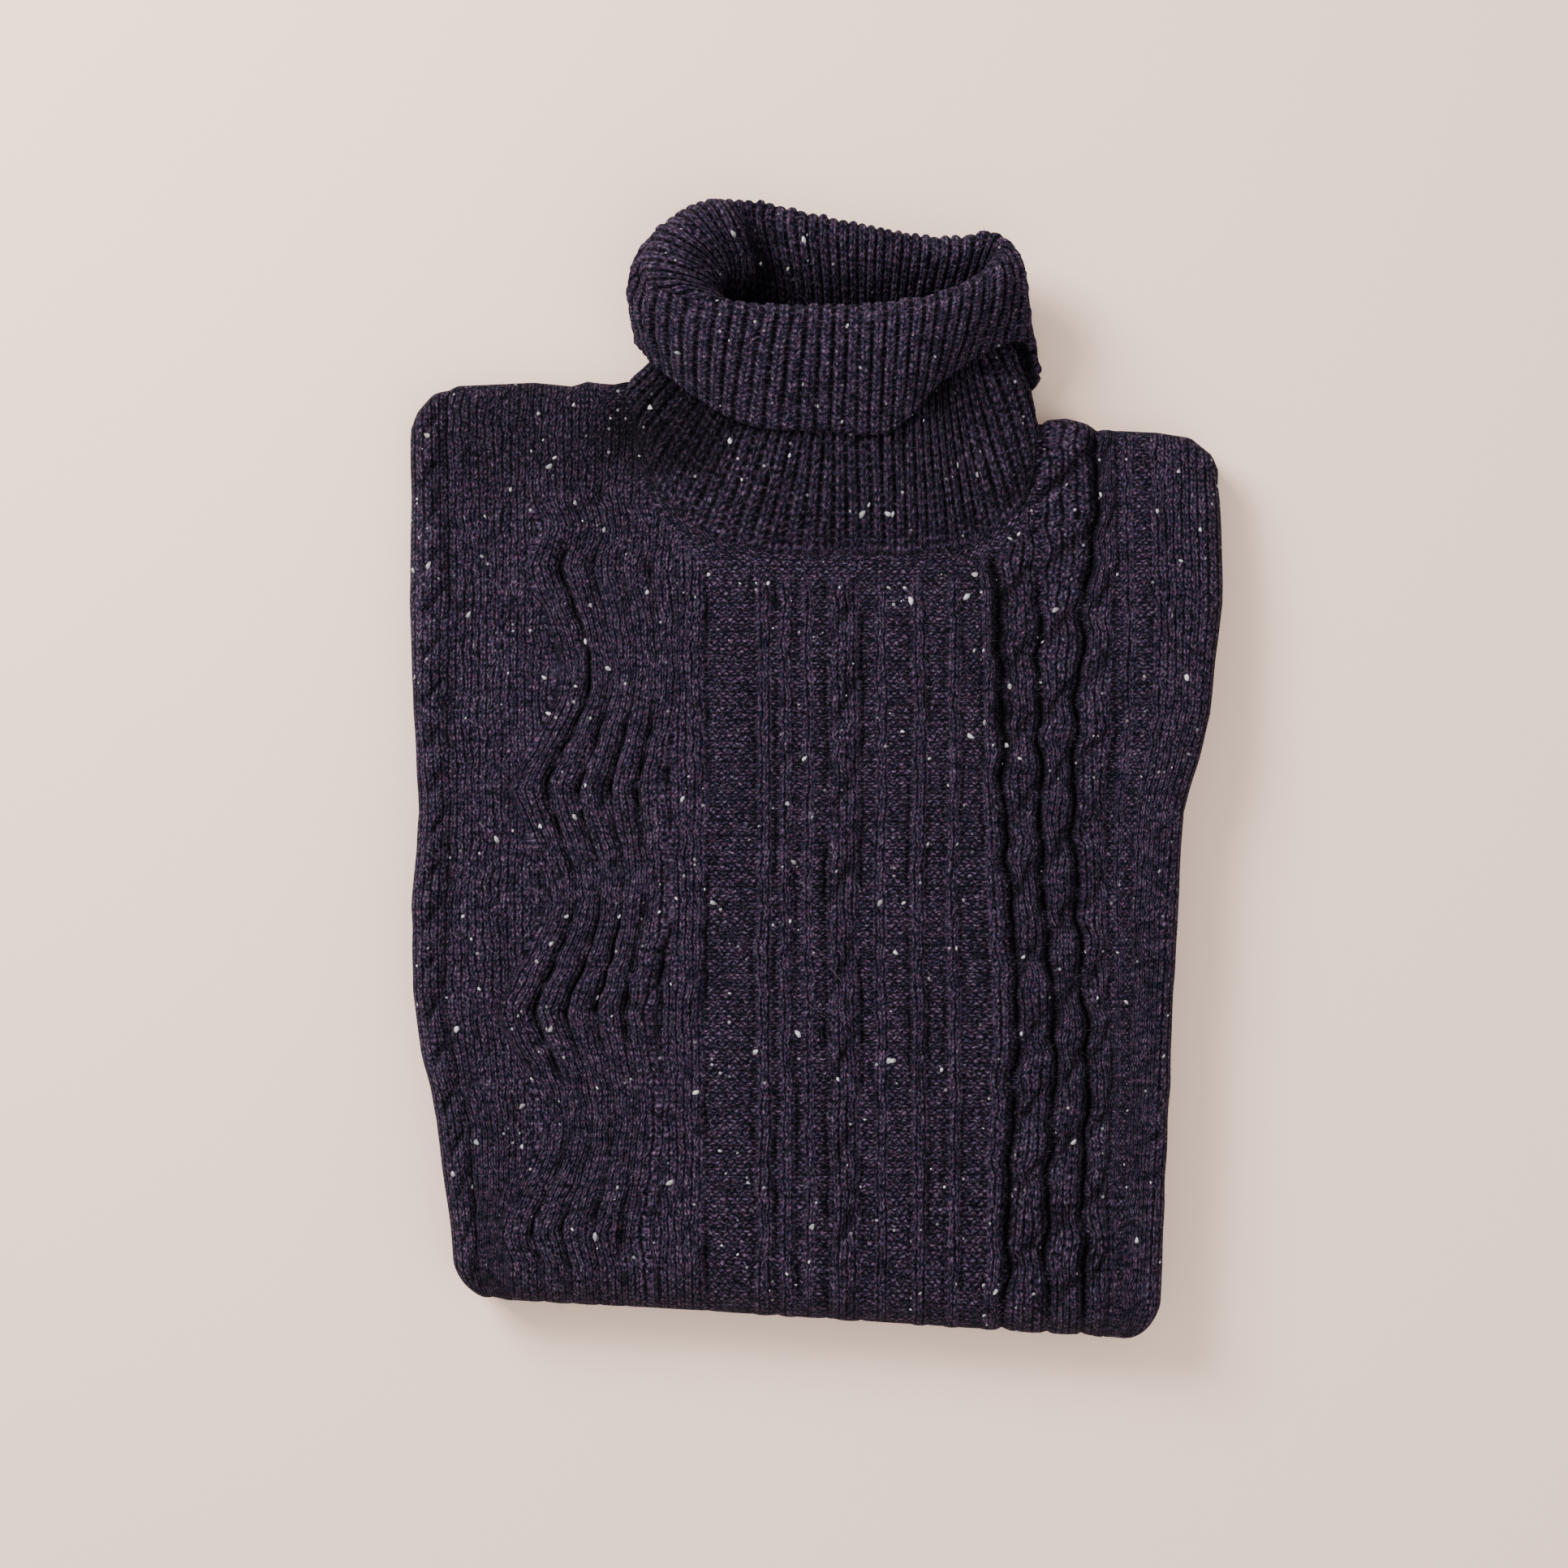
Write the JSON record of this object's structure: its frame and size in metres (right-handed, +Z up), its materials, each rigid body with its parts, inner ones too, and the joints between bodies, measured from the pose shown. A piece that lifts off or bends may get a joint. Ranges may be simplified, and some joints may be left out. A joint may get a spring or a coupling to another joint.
{
  "type": "folded aran turtleneck sweater",
  "caption": "Cable-knit turtleneck sweater folded into a flat bundle, with its ribbed collar turned over; stands for folded knitwear.",
  "frame": {"origin": "on the surface that the sweater lies on, under the middle of its whole outline", "axes": "+X to the right and +Y to the collar as seen from above, +Z up from the surface"},
  "size_m": [0.364, 0.5064, 0.0524],
  "materials": {
    "front": "dark heathered tweed wool knit in cables and purl, matt",
    "back": "dark heathered tweed wool knit, plain, matt",
    "left_sleeve": "dark heathered tweed wool knit, plain, matt",
    "right_sleeve": "dark heathered tweed wool knit, plain, matt",
    "collar": "dark heathered tweed wool rib knit, matt",
    "folded_layers": "dark tweed wool knit in hidden folds, matt"
  },
  "bodies": {
    "root": {"front": "front", "back": "back", "left_sleeve": "left_sleeve", "right_sleeve": "right_sleeve", "collar": "collar", "folded_layers": "folded_layers"}
  },
  "joints": []
}
